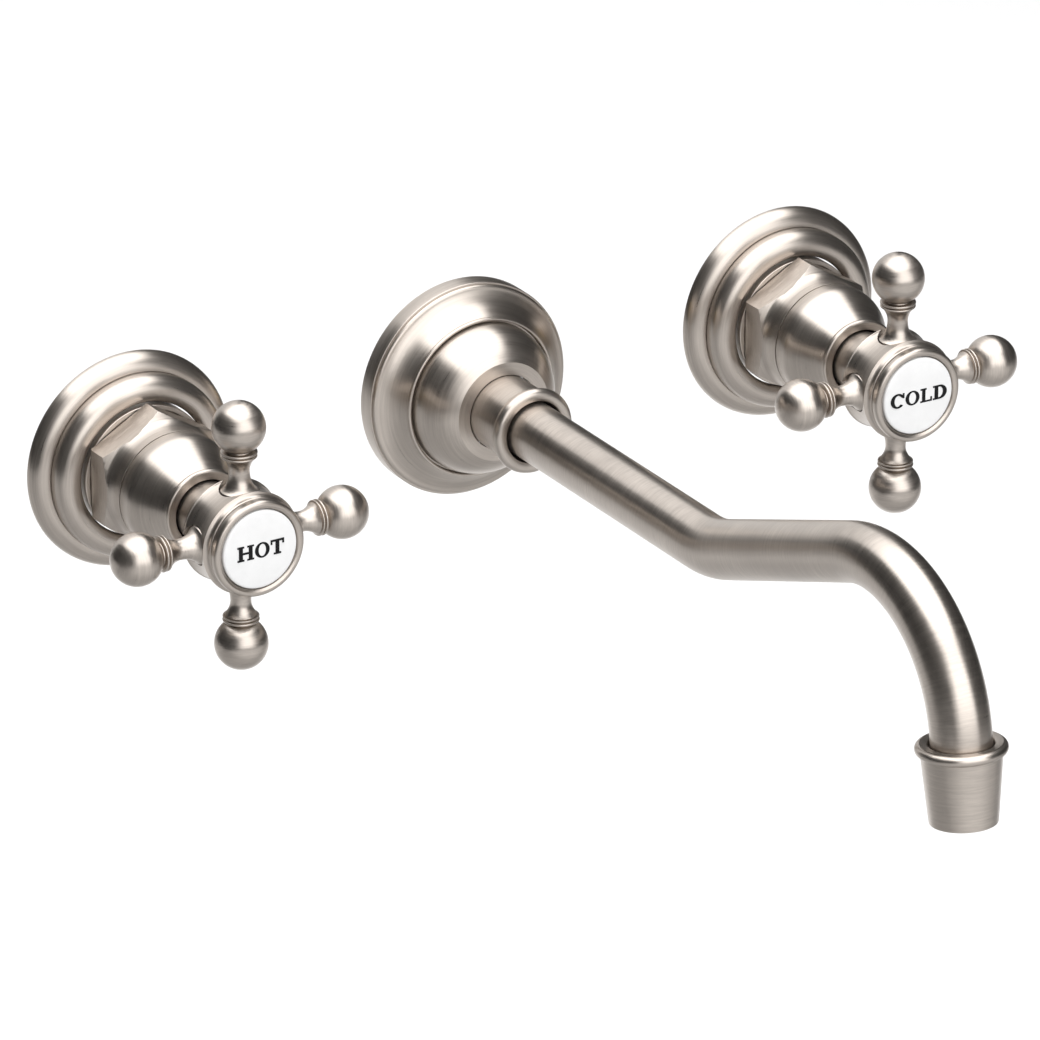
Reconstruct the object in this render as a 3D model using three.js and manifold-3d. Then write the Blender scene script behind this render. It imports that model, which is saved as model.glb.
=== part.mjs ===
// Wall mounted bath faucet: two quarter-turn valves with cross handles, and a gooseneck spout.
// Millimetres, +X right, +Y into the wall, +Z up. The finished wall is the plane y = 0, and
// the origin is where the spout's axis meets it. Each valve and the spout is drawn in a frame
// of its own, whose +Y points straight out of the wall and whose +Z points down, so a turned
// piece's outline is a list of [radius, distance out from the wall].
import * as THREE from "three";
import { mergeVertices } from "three/addons/utils/BufferGeometryUtils.js";
import Module from "manifold-3d";

const wasm = await Module();
wasm.setup();

const degrees = THREE.MathUtils.degToRad;

// ---------------------------------------------------------------- driving dimensions

const GAP = 0.3; // left between pieces that touch
const RUNNING_GAP = 0.4; // left between a turning piece and a fixed one
const TRIM_SIDES = 20; // flats round a piece of trim
const TUBE_SIDES = 16; // flats round the spout tube
const INNER_SIDES = 12; // flats round a hidden piece
const ARM_SIDES = 10; // flats round an arm, a screw and their holes
const PORT_SIDES = 8; // flats round a small water hole

const VALVE_SPREAD = 203.2; // hot axis to cold axis, 8 inches
const HANDLE_REACH = 61.2; // wall to the arms' axes

const FLANGE = {
  radius: 30.2,
  rimHeight: 4.7,
  crestHeight: 10.7,
  wall: 2.1,
  holeGap: 1.5, // round the bonnet's flats
  crestWidth: 3.5,
  creaseWidth: 7.4,
};
const BONNET = {
  wall: 2.9,
  footDepth: 1.6, // of the round foot that sits in the flange's hole
  footGap: 0.7,
  hexStep: 0.6,
  cornerHeight: 6.3,
  flatHeight: 8.3,
  shoulderStart: 14.4,
  shoulderEnd: 20,
  throatStep: 2.8, // beyond the handle's tail
  throatHeight: 30,
  lipStep: 0.5,
  height: 31.8,
};
const BODY = { wall: 1.8, waterGap: 1.6, behindWall: 20, mouth: 24, inletRadius: 5, backWall: 4 };
const PORT = { radius: 6.5, bore: 4, reach: 19, depth: 8 };
const DISC = { radius: 7.4, thickness: 2.6, portRadius: 1.9, portOffset: 4.2 };
const SEAL = { thickness: 1.8, width: 1.2 };
const CARTRIDGE = { wall: 1, shoulder: 15.4, neckRadius: 6.5, neckEnd: 30 };
const WINDOW = { width: 7, height: 4 };
const O_RING = { groove: 1.6, width: 1.8, seat: 3 };
const NUT = { hexStep: 1.9, headHeight: 4 };
const STEM = {
  radius: 4,
  plateStep: 0.8,
  plate: 2.2,
  tongue: 2.4,
  squareLength: 9.6,
  screwRoom: 0.7, // between its end and the hub's web
};
const SCREW = { radius: 1.5, headRadius: 3.6, headHeight: 2.4, length: 9, socket: 1.7 };
const HUB = {
  rear: -5.2,
  flare: 5.5,
  front: 8.2,
  rearRadius: 14.3,
  waistRadius: 13.7,
  flareRadius: 14.2,
  frontRadius: 12.9,
  tailRadius: 8.4,
  tailPast: 2.5, // how far it runs in beyond the bushing
  recessRadius: 6.5,
  webFront: -3.9,
};
const ARM = {
  seatDepth: 1.7,
  seatRadius: 4.7,
  spigotRadius: 2.5,
  spigotLength: 4,
  waistRadius: 2.75,
  waistAt: 6.1,
  collarRadius: 4.9,
  collarAt: 10.1,
  collarLength: 1.9,
  ballRadius: 7.15,
  ballAt: 18.2,
};
const BEZEL = { overhang: 0.45, height: 2.3, wall: 2.2 };
const BUTTON = { proud: 0.2, shankGap: 0.7, shankLength: 4 };
const BUSHING = { wall: 1, length: 3, sunk: 1.2, ledge: 0.6 };
const GASKET = { width: 5, thickness: 2.2 };

const SPOUT = {
  tubeRadius: 7.94,
  tubeWall: 1.04,
  tubeStart: 12.5,
  bendAt: 132.3,
  bendRadius: 37,
  rise: degrees(20),
  riseLength: 68.5,
  arcRadius: 38.8,
  drop: degrees(85),
  dropLength: 0.9,
  intoCup: 5,
};
const SPOUT_FLANGE = {
  radius: 30.3,
  rimHeight: 5.3,
  lipRadius: 22.3,
  lipHeight: 13.3,
  domeStep: 3, // the flat ring round the collar
  domeHeight: 24.5,
  wall: 2.2,
};
const COLLAR = { tubeGap: 0.76, wall: 1.65, end: 41, beadStep: 1.6, beadLength: 4 };
const SET_SCREW = { radius: 2, at: 31, socket: 1 };
const ADAPTER = { wall: 3, start: -6, shoulder: 6, spigotEnd: 28, bore: 4.5 };
const SPOUT_O_RING = { fromEnd: 6, depth: 1, width: 1.8 };
const FRICTION_RING = { wall: 1.6, width: 2.2 };
const NIPPLE = { radius: 10.6, bore: 7.5, behindWall: 20 };
const CUP = {
  beadStep: 3.96, // its radii are steps beyond the tube's
  topStep: 2.56,
  bottomStep: 0.91,
  bead: 1.5,
  length: 19.7,
  wall: 1.15,
};
const AERATOR = { washer: 1.4, wall: 0.8, lip: 1.2, restrictor: 3, screen: 0.8, inset: 0.5 };

const FINISHES = {
  nickel: { color: 0xa69b92, metalness: 0.95, roughness: 0.34 },
  brass: { color: 0xb8924a, metalness: 0.95, roughness: 0.38 },
  steel: { color: 0xb9bcc0, metalness: 0.95, roughness: 0.3 },
  porcelain: { color: 0xf4f4f2, metalness: 0, roughness: 0.12 },
  ceramic: { color: 0xe6e1d5, metalness: 0, roughness: 0.3 },
  rubber: { color: 0x1d1d1d, metalness: 0, roughness: 0.85 },
  plastic: { color: 0x3a3a3c, metalness: 0, roughness: 0.6 },
};

// ---------------------------------------------------------------- making solids

// One named piece with a material of its own.
function piece(name, finish, geometry) {
  const mesh = new THREE.Mesh(geometry, new THREE.MeshStandardMaterial(FINISHES[finish]));
  mesh.name = name;
  return mesh;
}

// A closed outline turned about +Y. It touches the axis at both ends, or closes on itself.
function turned(outline, sides) {
  const points = outline.map(([radius, height]) => new THREE.Vector2(radius, height));
  if (THREE.ShapeUtils.area(points) < 0) points.reverse();
  if (points[0].x > 0) points.push(points[0].clone());
  return new THREE.LatheGeometry(points, sides);
}

// A turned ring of plain rectangular section.
function ring(inner, outer, from, to, sides) {
  const outline = [
    [inner, from],
    [outer, from],
    [outer, to],
    [inner, to],
  ];
  return turned(outline, sides);
}

// A round, square or hexagonal bar along +Y, with a corner towards +Z.
function bar(radius, from, to, sides) {
  const cylinder = new THREE.CylinderGeometry(radius, radius, to - from, sides);
  return cylinder.translate(0, (from + to) / 2, 0);
}

// The corner radius of a faceted hole whose flats clear a shaft by a gap.
function holeFor(radius, gap, sides) {
  return (radius + gap) / Math.cos(Math.PI / sides);
}

// Points along a quarter-round or a cove from one outline point to the next. The corner is
// where the tangents at its ends meet.
function curve(from, corner, to, steps) {
  const bend = new THREE.QuadraticBezierCurve(
    new THREE.Vector2(...from),
    new THREE.Vector2(...corner),
    new THREE.Vector2(...to),
  );
  return bend.getPoints(steps).map((point) => [point.x, point.y]);
}

function solid(geometry) {
  const bare = geometry.clone();
  bare.deleteAttribute("normal");
  bare.deleteAttribute("uv");
  const merged = mergeVertices(bare);
  const mesh = new wasm.Mesh({
    numProp: 3,
    vertProperties: merged.attributes.position.array,
    triVerts: new Uint32Array(merged.index.array),
  });
  return new wasm.Manifold(mesh);
}

function shell(made) {
  const mesh = made.getMesh();
  const geometry = new THREE.BufferGeometry();
  geometry.setAttribute("position", new THREE.BufferAttribute(mesh.vertProperties, 3));
  geometry.setIndex(new THREE.BufferAttribute(mesh.triVerts, 1));
  geometry.computeVertexNormals();
  return geometry;
}

// A geometry with others cut out of it.
function cut(geometry, ...holes) {
  const left = holes.reduce((rest, hole) => rest.subtract(solid(hole)), solid(geometry));
  return shell(left);
}

// ---------------------------------------------------------------- valve sizes

// Radii, each worked out from the piece inside it.
const skirtInner = holeFor(DISC.radius, GAP, INNER_SIDES);
const cartridgeRadius = skirtInner + CARTRIDGE.wall;
const chamberRadius = holeFor(cartridgeRadius, GAP, INNER_SIDES);
const waterRadius = chamberRadius + BODY.waterGap;
const bodyRadius = waterRadius + BODY.wall;
const bellRadius = bodyRadius + GAP + BONNET.wall;
const hexFlat = bellRadius + BONNET.hexStep;
const hexRadius = hexFlat / Math.cos(degrees(30));
const throatRadius = HUB.tailRadius + BONNET.throatStep;
const plateRadius = DISC.radius - STEM.plateStep;
const bezelRadius = HUB.frontRadius + BEZEL.overhang;

// Distances out from the wall, worked out from the driving dimensions.
const seatLevel = BODY.backWall - BODY.behindWall;
const sealBase = seatLevel + GAP;
const fixedDiscBase = sealBase + SEAL.thickness + GAP;
const turningDiscBase = fixedDiscBase + DISC.thickness + GAP;
const stemPlateBase = turningDiscBase + DISC.thickness + GAP;
const cartridgeFloor = stemPlateBase + STEM.plate + RUNNING_GAP + WINDOW.height / 2;
const bonnetBase = FLANGE.crestHeight + GAP;
const bonnetFront = bonnetBase + BONNET.height;
const bushingSeat = bonnetFront - BUSHING.length - BUSHING.sunk;
const bushingOuter = holeFor(HUB.tailRadius, RUNNING_GAP, TRIM_SIDES) + BUSHING.wall;
const tailEnd = bushingSeat - HUB.tailPast;
const webFront = HANDLE_REACH + HUB.webFront;
const stemTop = webFront - STEM.screwRoom;
const squareBase = stemTop - STEM.squareLength;
const hubFront = HANDLE_REACH + HUB.front;
const armSeat = HUB.waistRadius - ARM.seatDepth;

// ---------------------------------------------------------------- valve trim

// The hollow wall flange: a rim bead, a crease, and a raised inner bead round the hole.
function flange() {
  const { radius, rimHeight, crestHeight, wall } = FLANGE;
  const holeRadius = hexFlat + FLANGE.holeGap;
  const crestRadius = holeRadius + FLANGE.crestWidth;
  const creaseRadius = holeRadius + FLANGE.creaseWidth;
  const outline = [
    [radius, 0],
    ...curve([radius, 1], [radius, rimHeight], [creaseRadius, rimHeight], 3),
    ...curve(
      [creaseRadius, rimHeight + 0.1],
      [creaseRadius - 0.4, crestHeight],
      [crestRadius, crestHeight],
      3,
    ),
    [holeRadius + 0.7, crestHeight - 0.3],
    [holeRadius, crestHeight - 1],
    [holeRadius, crestHeight - wall],
    [crestRadius, crestHeight - wall],
    [creaseRadius - wall, rimHeight],
    [creaseRadius - wall, rimHeight - wall],
    [radius - wall, rimHeight - wall],
    [radius - wall, 0],
  ];
  return turned(outline, TRIM_SIDES);
}

function flangeGasket(flangeSize) {
  const outer = (flangeSize.radius - flangeSize.wall - GAP) * Math.cos(Math.PI / TRIM_SIDES);
  const thickness = Math.min(GASKET.thickness, flangeSize.rimHeight - flangeSize.wall - GAP);
  return ring(outer - GASKET.width, outer, 0, thickness, TRIM_SIDES);
}

// The hexagonal nut and the bell it flows into are one turned and milled piece, on a round
// foot that centres it in the flange's hole.
function bonnet() {
  const { cornerHeight, flatHeight } = BONNET;
  const base = bonnetBase;
  const chamfer = [
    [0, base - 1],
    [hexRadius + 1, base - 1],
    [hexRadius + 1, base + cornerHeight - 0.5],
    [hexFlat, base + flatHeight],
    [0, base + flatHeight + 1],
  ];
  const hexagon = bar(hexRadius, base, base + flatHeight + 1, 6);
  const hexagonEnd = solid(hexagon).intersect(solid(turned(chamfer, TRIM_SIDES)));
  const shoulder = base + BONNET.shoulderStart;
  const throat = base + BONNET.throatHeight;
  const bell = [
    [0, base + 1],
    [bellRadius - 1, base + 1],
    [bellRadius, base + flatHeight - 1],
    [bellRadius - 0.2, shoulder - 2],
    [bellRadius, shoulder],
    [bellRadius + 0.2, base + BONNET.shoulderEnd],
    ...curve(
      [bellRadius - 0.4, base + BONNET.shoulderEnd + 1.4],
      [throatRadius + 1, throat - 4],
      [throatRadius, throat],
      3,
    ),
    [throatRadius + BONNET.lipStep, throat + 0.8],
    [throatRadius + 0.1, bonnetFront],
    [0, bonnetFront],
  ];
  const footBase = base - BONNET.footDepth;
  const footRadius = hexFlat + FLANGE.holeGap - BONNET.footGap;
  const foot = bar(footRadius, footBase, base + 1, TRIM_SIDES);
  const threadRadius = holeFor(bodyRadius, GAP, TRIM_SIDES);
  const cavity = [
    [0, footBase - 1],
    [threadRadius, footBase - 1],
    [threadRadius, base + BONNET.shoulderEnd],
    [bushingOuter - BUSHING.ledge, bushingSeat],
    [bushingOuter + GAP, bushingSeat],
    [bushingOuter + GAP, bonnetFront + 1],
    [0, bonnetFront + 1],
  ];
  const outside = hexagonEnd.add(solid(turned(bell, TRIM_SIDES))).add(solid(foot));
  return shell(outside.subtract(solid(turned(cavity, TRIM_SIDES))));
}

function bonnetBushing() {
  const inner = holeFor(HUB.tailRadius, RUNNING_GAP, TRIM_SIDES);
  const from = bushingSeat + GAP;
  return ring(inner, bushingOuter, from, from + BUSHING.length, TRIM_SIDES);
}

// ---------------------------------------------------------------- valve works

// The brass shank: an inlet in its back end, a chamber for the cartridge, and a side outlet.
function valveBody(portSide) {
  const chamberTop = cartridgeFloor + 3;
  const hollow = [
    [0, -BODY.behindWall - 1],
    [BODY.inletRadius, -BODY.behindWall - 1],
    [BODY.inletRadius, seatLevel],
    [chamberRadius, seatLevel],
    [chamberRadius, fixedDiscBase],
    [waterRadius, fixedDiscBase],
    [waterRadius, chamberTop],
    [chamberRadius, chamberTop],
    [chamberRadius, BODY.mouth + 1],
    [0, BODY.mouth + 1],
  ];
  const shank = solid(bar(bodyRadius, -BODY.behindWall, BODY.mouth, INNER_SIDES));
  const boss = bar(PORT.radius, 0, PORT.reach, INNER_SIDES);
  const bore = bar(PORT.bore, 0, PORT.reach + 1, INNER_SIDES);
  for (const shape of [boss, bore]) {
    shape.rotateZ(-portSide * degrees(90)).translate(0, -PORT.depth, 0);
  }
  const outside = shank.add(solid(boss));
  return shell(outside.subtract(solid(turned(hollow, INNER_SIDES))).subtract(solid(bore)));
}

function seatSeal() {
  return ring(DISC.radius - SEAL.width, DISC.radius, sealBase, sealBase + SEAL.thickness, INNER_SIDES);
}

// A ceramic disc with two ports on a line at an angle about the axis.
function portedDisc(base, angle) {
  const disc = bar(DISC.radius, base, base + DISC.thickness, INNER_SIDES);
  const ports = [-1, 1].map((side) =>
    bar(DISC.portRadius, base - 1, base + DISC.thickness + 1, PORT_SIDES)
      .translate(side * DISC.portOffset, 0, 0)
      .rotateY(angle),
  );
  return cut(disc, ...ports);
}

function fixedDisc() {
  return portedDisc(fixedDiscBase, 0);
}

// Its ports stand a quarter turn from the fixed ones when the valve is shut, and its front
// face has a slot for the stem's tongue.
function turningDisc() {
  const slotDepth = STEM.plate / 2;
  const slot = new THREE.BoxGeometry(DISC.radius * 3, slotDepth * 2, STEM.tongue + 2 * GAP);
  slot.translate(0, turningDiscBase + DISC.thickness, 0);
  return cut(portedDisc(turningDiscBase, degrees(90)), slot);
}

// A skirt round the discs with two windows, a grooved shank and a neck for the stem.
function cartridgeBody() {
  const stemHole = holeFor(STEM.radius, RUNNING_GAP, INNER_SIDES);
  const grooveRadius = cartridgeRadius - O_RING.groove;
  const grooveEnd = O_RING.seat + O_RING.width + 2 * GAP;
  const outline = [
    [skirtInner, seatLevel + GAP],
    [cartridgeRadius, seatLevel + GAP],
    [cartridgeRadius, O_RING.seat],
    [grooveRadius, O_RING.seat],
    [grooveRadius, grooveEnd],
    [cartridgeRadius, grooveEnd],
    [cartridgeRadius, CARTRIDGE.shoulder],
    [CARTRIDGE.neckRadius, CARTRIDGE.shoulder],
    [CARTRIDGE.neckRadius, CARTRIDGE.neckEnd],
    [stemHole, CARTRIDGE.neckEnd],
    [stemHole, cartridgeFloor],
    [skirtInner, cartridgeFloor],
  ];
  const windows = new THREE.BoxGeometry(cartridgeRadius * 3, WINDOW.height, WINDOW.width);
  windows.translate(0, cartridgeFloor - WINDOW.height / 2, 0);
  return cut(turned(outline, INNER_SIDES), windows);
}

function cartridgeORing() {
  const inner = holeFor(cartridgeRadius - O_RING.groove, GAP, INNER_SIDES);
  const from = O_RING.seat + GAP;
  return ring(inner, cartridgeRadius, from, from + O_RING.width, INNER_SIDES);
}

// A threaded ring that holds the cartridge down, with a hexagonal head on the body's mouth.
function cartridgeNut() {
  const hole = holeFor(CARTRIDGE.neckRadius, GAP, INNER_SIDES);
  const headBase = BODY.mouth + GAP;
  const head = solid(bar(chamberRadius + NUT.hexStep, headBase, headBase + NUT.headHeight, 6));
  const thread = solid(bar(cartridgeRadius, CARTRIDGE.shoulder + GAP, headBase + 1, INNER_SIDES));
  const through = solid(bar(hole, 0, headBase + NUT.headHeight + 1, INNER_SIDES));
  return shell(head.add(thread).subtract(through));
}

// The stem: a tongue in the turning disc, a driver plate, a round shaft and a square end.
function stem() {
  const shaft = [
    [0, stemPlateBase],
    [plateRadius, stemPlateBase],
    [plateRadius, stemPlateBase + STEM.plate],
    [STEM.radius, stemPlateBase + STEM.plate],
    [STEM.radius, squareBase],
    [0, squareBase],
  ];
  const tongueDepth = STEM.plate / 2;
  const tongue = new THREE.BoxGeometry(plateRadius * 1.8, tongueDepth * 2, STEM.tongue);
  tongue.translate(0, stemPlateBase + GAP / 2, 0);
  const square = bar(STEM.radius, squareBase - 1, stemTop, 4);
  const threadRadius = holeFor(SCREW.radius, GAP, ARM_SIDES);
  const thread = bar(threadRadius, stemTop - SCREW.length, stemTop + 1, ARM_SIDES);
  const whole = solid(turned(shaft, INNER_SIDES)).add(solid(tongue)).add(solid(square));
  return shell(whole.subtract(solid(thread)));
}

// ---------------------------------------------------------------- cross handle

// Turns a shape drawn along +Y to point along one of the four arms. 0 is up, 1 is right.
function alongArm(geometry, quarter) {
  return geometry
    .rotateX(degrees(-90))
    .rotateY(degrees(-90) * quarter)
    .translate(0, HANDLE_REACH, 0);
}

// The hub: a tail sleeve over the stem, a waisted barrel with four seats, and a front recess.
function hub() {
  const { rearRadius, waistRadius, flareRadius, frontRadius, tailRadius, recessRadius } = HUB;
  const rear = HANDLE_REACH + HUB.rear;
  const flare = HANDLE_REACH + HUB.flare;
  const waistCorner = 2 * waistRadius - (rearRadius + flareRadius) / 2;
  const stemHole = holeFor(STEM.radius, GAP, TRIM_SIDES);
  const outline = [
    [0, webFront],
    [recessRadius, webFront],
    [recessRadius, hubFront],
    [frontRadius, hubFront],
    [frontRadius + 0.4, hubFront - 0.6],
    [frontRadius + 0.1, hubFront - 1.3],
    ...curve([flareRadius, flare], [waistCorner, (rear + flare) / 2], [rearRadius, rear], 3),
    [tailRadius, rear],
    [tailRadius, tailEnd],
    [stemHole, tailEnd],
    [stemHole, squareBase + GAP],
    [0, squareBase + GAP],
  ];
  const squareRadius = STEM.radius + GAP / Math.cos(degrees(45));
  const holes = [bar(squareRadius, squareBase - 1, webFront + 1, 4)];
  const seatRadius = holeFor(ARM.seatRadius, GAP / 2, ARM_SIDES);
  const spigotHole = holeFor(ARM.spigotRadius, GAP, ARM_SIDES);
  for (let quarter = 0; quarter < 4; quarter += 1) {
    const seat = bar(seatRadius, armSeat, rearRadius + 1, ARM_SIDES);
    const thread = bar(spigotHole, recessRadius - 1, armSeat + 1, ARM_SIDES);
    holes.push(alongArm(seat, quarter), alongArm(thread, quarter));
  }
  return cut(turned(outline, TRIM_SIDES), ...holes);
}

// An arm: a spigot in the hub, a waisted stalk, a collar of two rings and a ball.
function arm(quarter) {
  const seat = armSeat + GAP;
  const collar = seat + ARM.collarAt;
  const collarEnd = collar + ARM.collarLength;
  const ballCentre = seat + ARM.ballAt;
  const ballStart = Math.asin((ballCentre - collarEnd) / ARM.ballRadius);
  const ballSteps = 5;
  const outline = [
    [0, seat - ARM.spigotLength],
    [ARM.spigotRadius, seat - ARM.spigotLength],
    [ARM.spigotRadius, seat],
    [ARM.seatRadius, seat],
    ...curve(
      [ARM.seatRadius, seat + 0.9],
      [ARM.waistRadius, seat + 2.5],
      [ARM.waistRadius, seat + ARM.waistAt],
      3,
    ),
    [ARM.waistRadius + 0.4, collar - 1.6],
    [ARM.collarRadius - 0.6, collar - 0.3],
    [ARM.collarRadius, collar],
    [ARM.collarRadius, collarEnd],
  ];
  for (let step = 0; step <= ballSteps; step += 1) {
    const angle = -ballStart + ((Math.PI / 2 + ballStart) * step) / ballSteps;
    const radius = step < ballSteps ? ARM.ballRadius * Math.cos(angle) : 0;
    outline.push([radius, ballCentre + ARM.ballRadius * Math.sin(angle)]);
  }
  return alongArm(turned(outline, ARM_SIDES), quarter);
}

// The screw that holds the hub on the stem, with a hexagon socket in its head.
function handleScrew() {
  const headBase = webFront + GAP;
  const headTop = headBase + SCREW.headHeight;
  const outline = [
    [0, headBase - SCREW.length],
    [SCREW.radius, headBase - SCREW.length],
    [SCREW.radius, headBase],
    [SCREW.headRadius, headBase],
    [SCREW.headRadius, headTop],
    [0, headTop],
  ];
  return cut(turned(outline, ARM_SIDES), bar(SCREW.socket, headTop - 1.6, headTop + 1, 6));
}

function bezelRing() {
  const base = hubFront + GAP;
  const outline = [
    [bezelRadius - BEZEL.wall, base],
    [bezelRadius, base],
    [bezelRadius, base + BEZEL.height - 0.8],
    [bezelRadius - 0.3, base + BEZEL.height - 0.3],
    [bezelRadius - 1, base + BEZEL.height],
    [bezelRadius - BEZEL.wall, base + BEZEL.height - 0.2],
  ];
  return turned(outline, TRIM_SIDES);
}

// The porcelain index button: a round face inside the bezel and a shank in the hub's recess.
function button() {
  const base = hubFront + GAP;
  const faceTop = base + BEZEL.height + BUTTON.proud;
  const shankRadius = HUB.recessRadius - BUTTON.shankGap;
  const faceRadius = (bezelRadius - BEZEL.wall) * Math.cos(Math.PI / TRIM_SIDES) - GAP;
  const outline = [
    [0, base - BUTTON.shankLength],
    [shankRadius, base - BUTTON.shankLength],
    [shankRadius, base],
    [faceRadius, base],
    [faceRadius, faceTop - 0.4],
    [faceRadius - 0.5, faceTop],
    [0, faceTop],
  ];
  return turned(outline, TRIM_SIDES);
}

// ---------------------------------------------------------------- one whole valve

// A valve on its own axis. portSide is 1 where its side outlet points to +X.
function valve(label, x, portSide) {
  const group = new THREE.Group();
  group.add(
    piece(`${label}_flange`, "nickel", flange()),
    piece(`${label}_flange_gasket`, "rubber", flangeGasket(FLANGE)),
    piece(`${label}_bonnet`, "nickel", bonnet()),
    piece(`${label}_bonnet_bushing`, "plastic", bonnetBushing()),
    piece(`${label}_valve_body`, "brass", valveBody(portSide)),
    piece(`${label}_seat_seal`, "rubber", seatSeal()),
    piece(`${label}_fixed_disc`, "ceramic", fixedDisc()),
    piece(`${label}_turning_disc`, "ceramic", turningDisc()),
    piece(`${label}_cartridge_body`, "brass", cartridgeBody()),
    piece(`${label}_cartridge_o_ring`, "rubber", cartridgeORing()),
    piece(`${label}_cartridge_nut`, "brass", cartridgeNut()),
    piece(`${label}_stem`, "brass", stem()),
    piece(`${label}_hub`, "nickel", hub()),
    piece(`${label}_handle_screw`, "steel", handleScrew()),
    piece(`${label}_bezel_ring`, "nickel", bezelRing()),
    piece(`${label}_button`, "porcelain", button()),
  );
  ["top", "right", "bottom", "left"].forEach((side, quarter) => {
    group.add(piece(`${label}_arm_${side}`, "nickel", arm(quarter)));
  });
  group.position.x = x;
  group.rotation.x = Math.PI;
  return group;
}

// ---------------------------------------------------------------- spout

// Sizes that the spout's pieces take from the tube they carry.
const tubeBore = SPOUT.tubeRadius - SPOUT.tubeWall;
const collarInner = SPOUT.tubeRadius + COLLAR.tubeGap;
const collarOuter = collarInner + COLLAR.wall;
const beadRadius = collarOuter + COLLAR.beadStep;
const spigotRadius = tubeBore * Math.cos(Math.PI / TUBE_SIDES) - 1.5 * GAP;

// A circular bend in the plane of the spout. heading is the angle above straight out.
class Bend extends THREE.Curve {
  constructor(start, radius, fromHeading, toHeading) {
    super();
    const turn = Math.sign(toHeading - fromHeading);
    this.radius = radius * turn;
    this.fromHeading = fromHeading;
    this.toHeading = toHeading;
    this.centre = start.clone().sub(this.spoke(fromHeading));
  }

  // From the centre to the tube's centre line where it has a heading.
  spoke(heading) {
    return new THREE.Vector3(0, Math.sin(heading) * this.radius, Math.cos(heading) * this.radius);
  }

  getPoint(share) {
    const heading = THREE.MathUtils.lerp(this.fromHeading, this.toHeading, share);
    return this.spoke(heading).add(this.centre);
  }
}

// A point further along a straight run. Heading 0 is straight out and +Z is down.
function ahead(point, heading, length) {
  const run = new THREE.Vector3(0, Math.cos(heading) * length, -Math.sin(heading) * length);
  return run.add(point);
}

// The tube's centre line: straight out, up at the rise, then over and down into the cup.
function spoutRoute() {
  const { bendAt, bendRadius, rise, riseLength, arcRadius, drop, dropLength } = SPOUT;
  const tangent = bendRadius * Math.tan(rise / 2);
  const start = new THREE.Vector3(0, SPOUT.tubeStart, 0);
  const bendStart = new THREE.Vector3(0, bendAt - tangent, 0);
  const firstBend = new Bend(bendStart, bendRadius, 0, rise);
  const bendEnd = firstBend.getPoint(1);
  const arcStart = ahead(bendEnd, rise, riseLength - tangent);
  const arc = new Bend(arcStart, arcRadius, rise, -drop);
  const arcEnd = arc.getPoint(1);
  const cupCentre = ahead(arcEnd, -drop, dropLength);
  const tubeEnd = ahead(cupCentre, -drop, SPOUT.intoCup);
  return { start, bendStart, firstBend, bendEnd, arcStart, arc, arcEnd, cupCentre, tubeEnd };
}
const route = spoutRoute();

// The pipe section as a polygon ring, extruded along the centre line.
function spoutTube() {
  const section = new THREE.Shape().absarc(0, 0, SPOUT.tubeRadius, 0, 2 * Math.PI);
  section.holes.push(new THREE.Path().absarc(0, 0, tubeBore, 0, 2 * Math.PI, true));
  const line = new THREE.CurvePath();
  line.add(new THREE.LineCurve3(route.start, route.bendStart));
  line.add(route.firstBend);
  line.add(new THREE.LineCurve3(route.bendEnd, route.arcStart));
  line.add(route.arc);
  line.add(new THREE.LineCurve3(route.arcEnd, route.tubeEnd));
  const sweep = { steps: 29, curveSegments: TUBE_SIDES / 2, extrudePath: line };
  return new THREE.ExtrudeGeometry(section, sweep);
}

// The spout's wall flange: a plain rim, an ogee up to a thin lip, and a dome round the collar.
function spoutFlange() {
  const { radius, rimHeight, lipRadius, lipHeight, domeHeight, wall } = SPOUT_FLANGE;
  const hole = holeFor(collarOuter, GAP, TRIM_SIDES);
  const domeRadius = hole + SPOUT_FLANGE.domeStep;
  const outline = [
    [radius, 0],
    [radius, rimHeight],
    [radius - 0.8, rimHeight + 0.4],
    ...curve(
      [radius - 1.6, rimHeight + 1.4],
      [lipRadius + 2, rimHeight + 2.6],
      [lipRadius, lipHeight - 0.6],
      3,
    ),
    [lipRadius - 0.8, lipHeight],
    ...curve(
      [lipRadius - 1.1, lipHeight - 0.6],
      [lipRadius - 1.6, domeHeight - 1],
      [domeRadius, domeHeight],
      4,
    ),
    [hole, domeHeight + 0.2],
    [hole, domeHeight - wall],
    [domeRadius, domeHeight - wall],
    [lipRadius - 1.4 - wall, lipHeight - wall],
    [radius - 2 * wall, rimHeight - wall],
    [radius - wall, rimHeight - wall],
    [radius - wall, 0],
  ];
  return turned(outline, TRIM_SIDES);
}

// The friction ring that keeps the flange from sliding along the collar.
function spoutFlangeRing() {
  const inner = holeFor(collarOuter, GAP, TRIM_SIDES);
  const to = SPOUT_FLANGE.domeHeight - SPOUT_FLANGE.wall - GAP;
  return ring(inner, inner + FRICTION_RING.wall, to - FRICTION_RING.width, to, TRIM_SIDES);
}

// The sleeve that the tube comes out of: threaded on the adapter, with a bead at its mouth.
function spoutCollar() {
  const beadStart = COLLAR.end - COLLAR.beadLength;
  const outline = [
    [collarInner, ADAPTER.shoulder + 2 * GAP],
    [collarOuter, ADAPTER.shoulder + 2 * GAP],
    [collarOuter, beadStart],
    [beadRadius - 0.5, beadStart + 0.6],
    [beadRadius, beadStart + 2],
    [beadRadius - 0.4, COLLAR.end - 0.7],
    [beadRadius - 1.4, COLLAR.end],
    [collarInner, COLLAR.end],
  ];
  const screwHole = bar(holeFor(SET_SCREW.radius, GAP, ARM_SIDES), 0, 2 * collarOuter, ARM_SIDES);
  screwHole.rotateX(degrees(90)).translate(0, SET_SCREW.at, 0);
  return cut(turned(outline, TRIM_SIDES), screwHole);
}

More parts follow.
